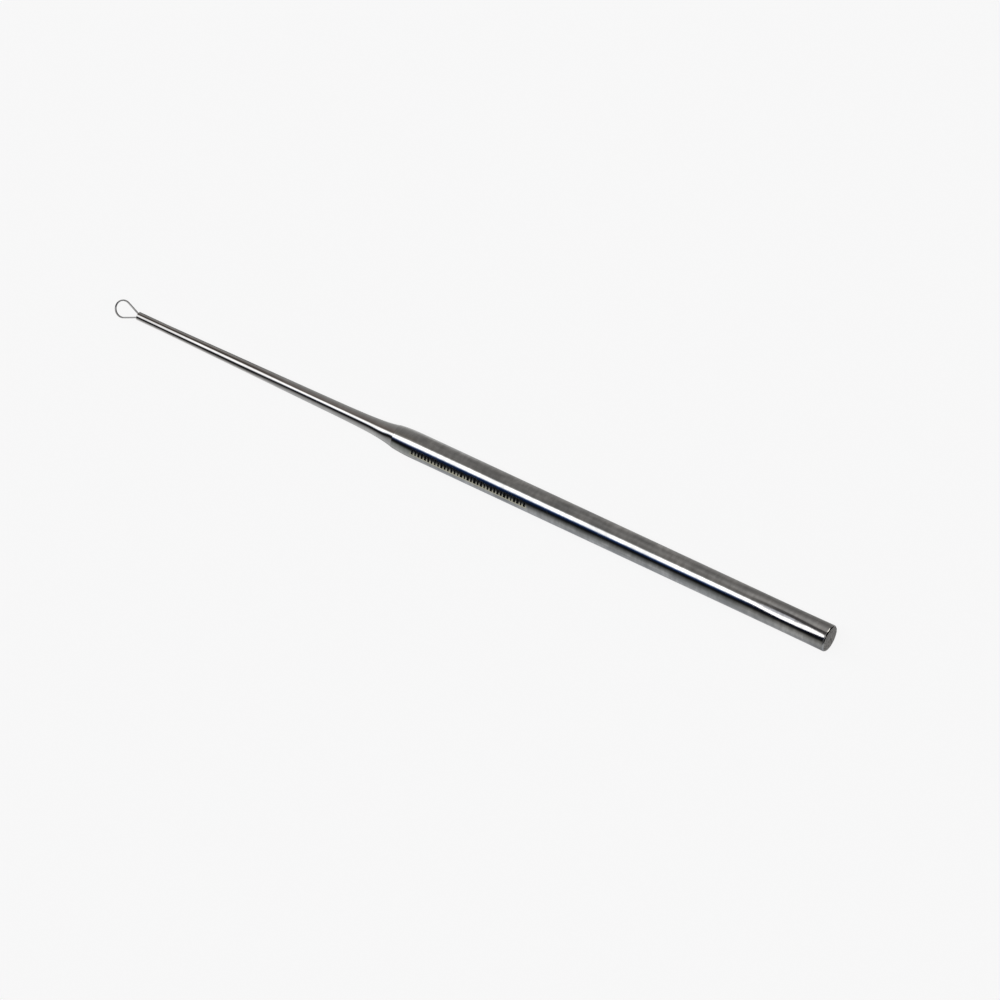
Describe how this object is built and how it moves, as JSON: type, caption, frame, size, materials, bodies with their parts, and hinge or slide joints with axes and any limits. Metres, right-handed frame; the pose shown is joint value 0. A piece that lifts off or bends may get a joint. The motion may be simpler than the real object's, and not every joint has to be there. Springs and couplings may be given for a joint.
{
  "type": "ear wax removal loop",
  "caption": "Slim steel ear-cleaning hand tool: round handle, tapered stem and a teardrop loop of flattened wire soldered into the tip.",
  "frame": {"origin": "centre of the handle's flat butt face", "axes": "+X along the tool from the butt to the loop, Y across the loop in its plane, +Z square to the loop's plane"},
  "size_m": [0.165, 0.0054, 0.0054],
  "materials": {
    "handle_steel": "bright polish with faint lengthwise lines",
    "shaft_steel": "bright polish",
    "loop_wire": "bright drawn wire",
    "solder": "satin silver solder"
  },
  "bodies": {
    "root": {"handle": "handle_steel", "shaft": "shaft_steel", "wire_loop": "loop_wire", "tip_solder": "solder"}
  },
  "joints": []
}
